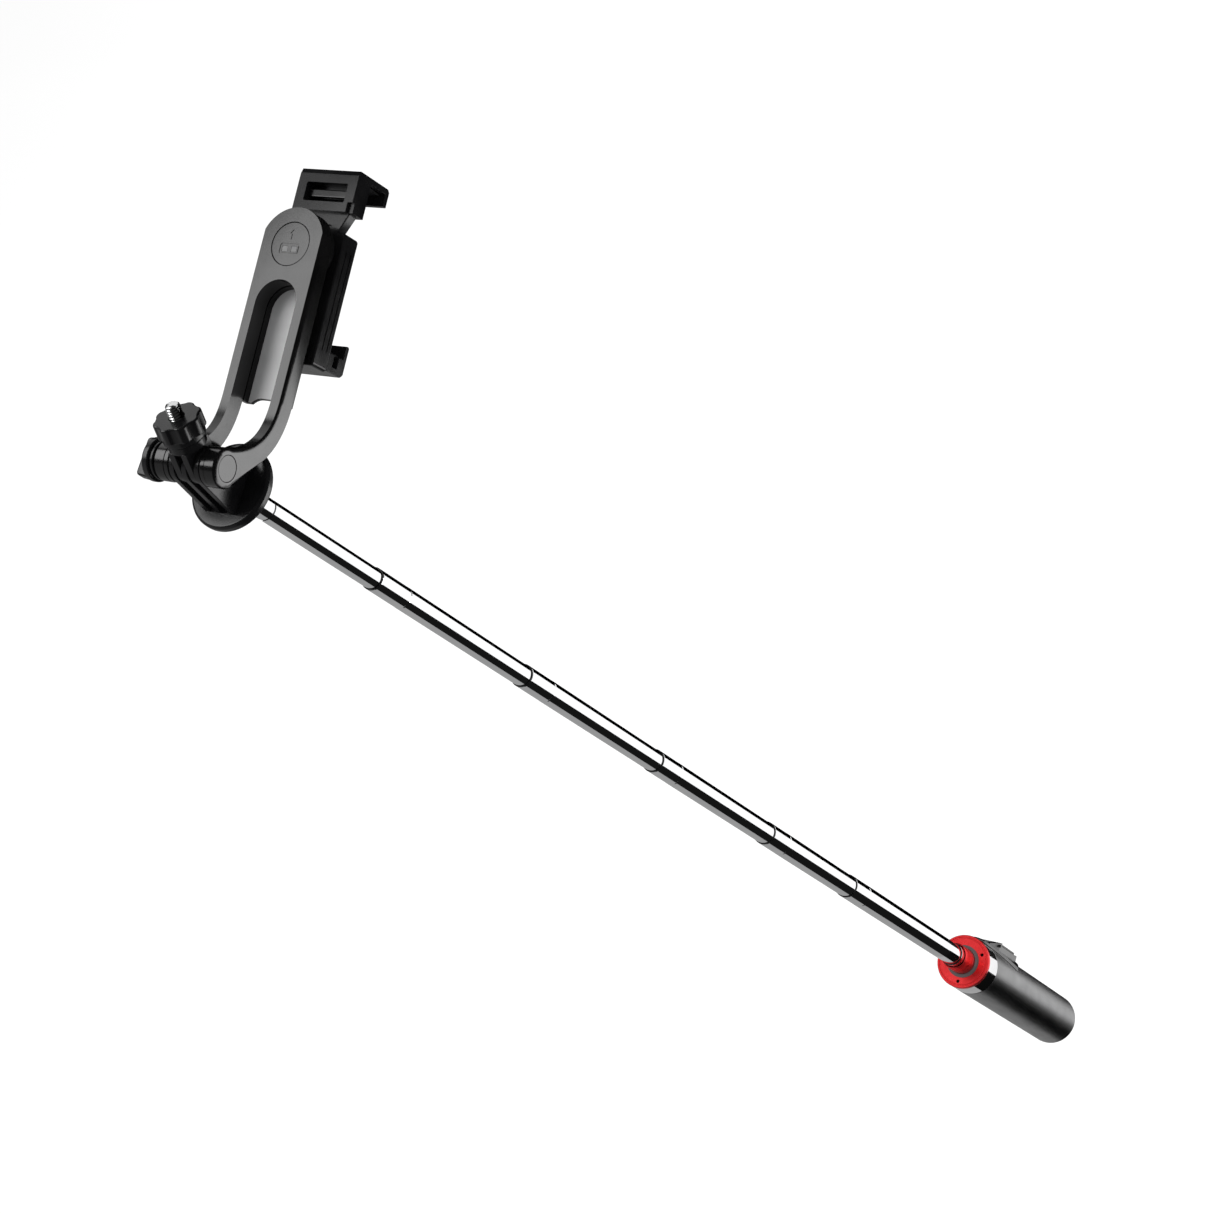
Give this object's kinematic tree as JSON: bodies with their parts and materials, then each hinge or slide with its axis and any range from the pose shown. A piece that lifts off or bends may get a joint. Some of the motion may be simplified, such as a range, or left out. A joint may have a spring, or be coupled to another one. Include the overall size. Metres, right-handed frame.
{
  "type": "selfie stick",
  "caption": "Telescopic selfie stick with a finned tilt head, camera stud, fork arm, sprung phone clamp and a shutter remote on the grip.",
  "frame": {"origin": "on the grip's axis, midway along its matte shell, where a hand holds it", "axes": "+Z along the telescopic tubes towards the head, +Y from the axle towards the phone clamp, X along the tilt axle with the thumb knob at -X"},
  "size_m": [0.0455, 0.1611, 1.176],
  "materials": {
    "matte_grip": "satin black anodised",
    "gloss_ring": "polished black chrome",
    "red_collar": "red anodised, satin",
    "tube_chrome": "mirror polished",
    "black_plastic": "smooth black moulding",
    "arm_plastic": "fine satin charcoal moulding",
    "pad_rubber": "matt black rubber",
    "screw_steel": "plain machined steel",
    "screw_black": "blackened steel",
    "tray_plastic": "smooth charcoal moulding, light floor",
    "neck_rubber": "grey brown ring",
    "board": "green coated circuit board"
  },
  "bodies": {
    "grip": {"grip_shell": "matte_grip", "grip_end_cap": "matte_grip", "grip_sleeve": "gloss_ring", "tube_foot": "black_plastic", "red_collar": "red_collar", "neck_ring": "neck_rubber", "collar_screw_1": "screw_black", "collar_screw_2": "screw_black", "collar_screw_3": "screw_black", "tube_7": "tube_chrome", "remote_cradle": "matte_grip"},
    "stage_6": {"tube_6": "tube_chrome", "tube_6_bush": "black_plastic"},
    "stage_5": {"tube_5": "tube_chrome", "tube_5_bush": "black_plastic"},
    "stage_4": {"tube_4": "tube_chrome", "tube_4_bush": "black_plastic"},
    "stage_3": {"tube_3": "tube_chrome", "tube_3_bush": "black_plastic"},
    "stage_2": {"tube_2": "tube_chrome", "tube_2_bush": "black_plastic"},
    "stage_1": {"tube_1": "tube_chrome", "tube_1_bush": "black_plastic", "head_plug": "black_plastic"},
    "head": {"head_disc": "black_plastic"},
    "adapter": {"camera_adapter": "black_plastic", "tripod_stud": "screw_steel"},
    "camera_nut": {"lock_nut": "black_plastic"},
    "arm": {"fork_arm": "arm_plastic", "arm_tray": "tray_plastic", "arm_badge": "arm_plastic", "swivel_nut": "screw_steel", "pivot_nut": "screw_steel", "prong_cap": "arm_plastic", "knob_washer": "black_plastic"},
    "knob": {"thumb_knob": "black_plastic", "pivot_bolt": "screw_steel"},
    "clamp": {"clamp_body": "black_plastic", "clamp_cover": "black_plastic", "back_pad": "pad_rubber", "swivel_disc": "black_plastic", "swivel_screw": "screw_steel", "swivel_washer": "screw_steel", "lower_jaw": "black_plastic", "lower_jaw_pad": "pad_rubber", "jaw_spring_1": "screw_steel", "jaw_spring_2": "screw_steel"},
    "sliding_jaw": {"upper_jaw": "black_plastic", "jaw_cross_bar": "arm_plastic", "upper_jaw_pad": "pad_rubber"},
    "remote": {"remote_bottom": "arm_plastic", "remote_top": "arm_plastic", "remote_board": "board", "coin_cell": "screw_steel"},
    "button": {"remote_button": "pad_rubber"}
  },
  "joints": [
    {"name": "tube_6_slide", "type": "slide", "parent": "grip", "child": "stage_6", "axis": [0, 0, 1], "range_m": [-0.196, 0]},
    {"name": "tube_5_slide", "type": "slide", "parent": "stage_6", "child": "stage_5", "axis": [0, 0, 1], "range_m": [-0.126, 0.065]},
    {"name": "tube_4_slide", "type": "slide", "parent": "stage_5", "child": "stage_4", "axis": [0, 0, 1], "range_m": [-0.147, 0.042]},
    {"name": "tube_3_slide", "type": "slide", "parent": "stage_4", "child": "stage_3", "axis": [0, 0, 1], "range_m": [-0.143, 0.042]},
    {"name": "tube_2_slide", "type": "slide", "parent": "stage_3", "child": "stage_2", "axis": [0, 0, 1], "range_m": [-0.133, 0.046]},
    {"name": "tube_1_slide", "type": "slide", "parent": "stage_2", "child": "stage_1", "axis": [0, 0, 1], "range_m": [-0.08, 0.074]},
    {"name": "head_pan", "type": "hinge", "parent": "stage_1", "child": "head", "pos_m": [0, 0, 1], "axis": [0, 0, 1], "continuous": true},
    {"name": "arm_tilt", "type": "hinge", "parent": "head", "child": "arm", "pos_m": [0, 0, 1.0519], "axis": [1, 0, 0], "range_deg": [0, 180]},
    {"name": "adapter_tilt", "type": "hinge", "parent": "head", "child": "adapter", "pos_m": [0, 0, 1.0519], "axis": [1, 0, 0], "range_deg": [-55, 115]},
    {"name": "knob_turn", "type": "hinge", "parent": "arm", "child": "knob", "pos_m": [0, 0, 1.0519], "axis": [1, 0, 0], "continuous": true},
    {"name": "camera_nut_turn", "type": "hinge", "parent": "adapter", "child": "camera_nut", "pos_m": [0, 0.00927, 1.06733], "axis": [0, 0.515, 0.8572], "continuous": true},
    {"name": "clamp_swivel", "type": "hinge", "parent": "arm", "child": "clamp", "pos_m": [0, 0.10272, 1.02794], "axis": [0, -0.1089, 0.9941], "continuous": true},
    {"name": "jaw_slide", "type": "slide", "parent": "clamp", "child": "sliding_jaw", "axis": [0, 0.9941, 0.1089], "range_m": [-0.008, 0.016]},
    {"name": "remote_slide", "type": "slide", "parent": "grip", "child": "remote", "axis": [0, 0, 1], "range_m": [-0.045, 0]},
    {"name": "remote_button_press", "type": "slide", "parent": "remote", "child": "button", "axis": [0, -1, 0], "range_m": [0, 0.0004], "stiffness_N_per_m": 1500}
  ]
}
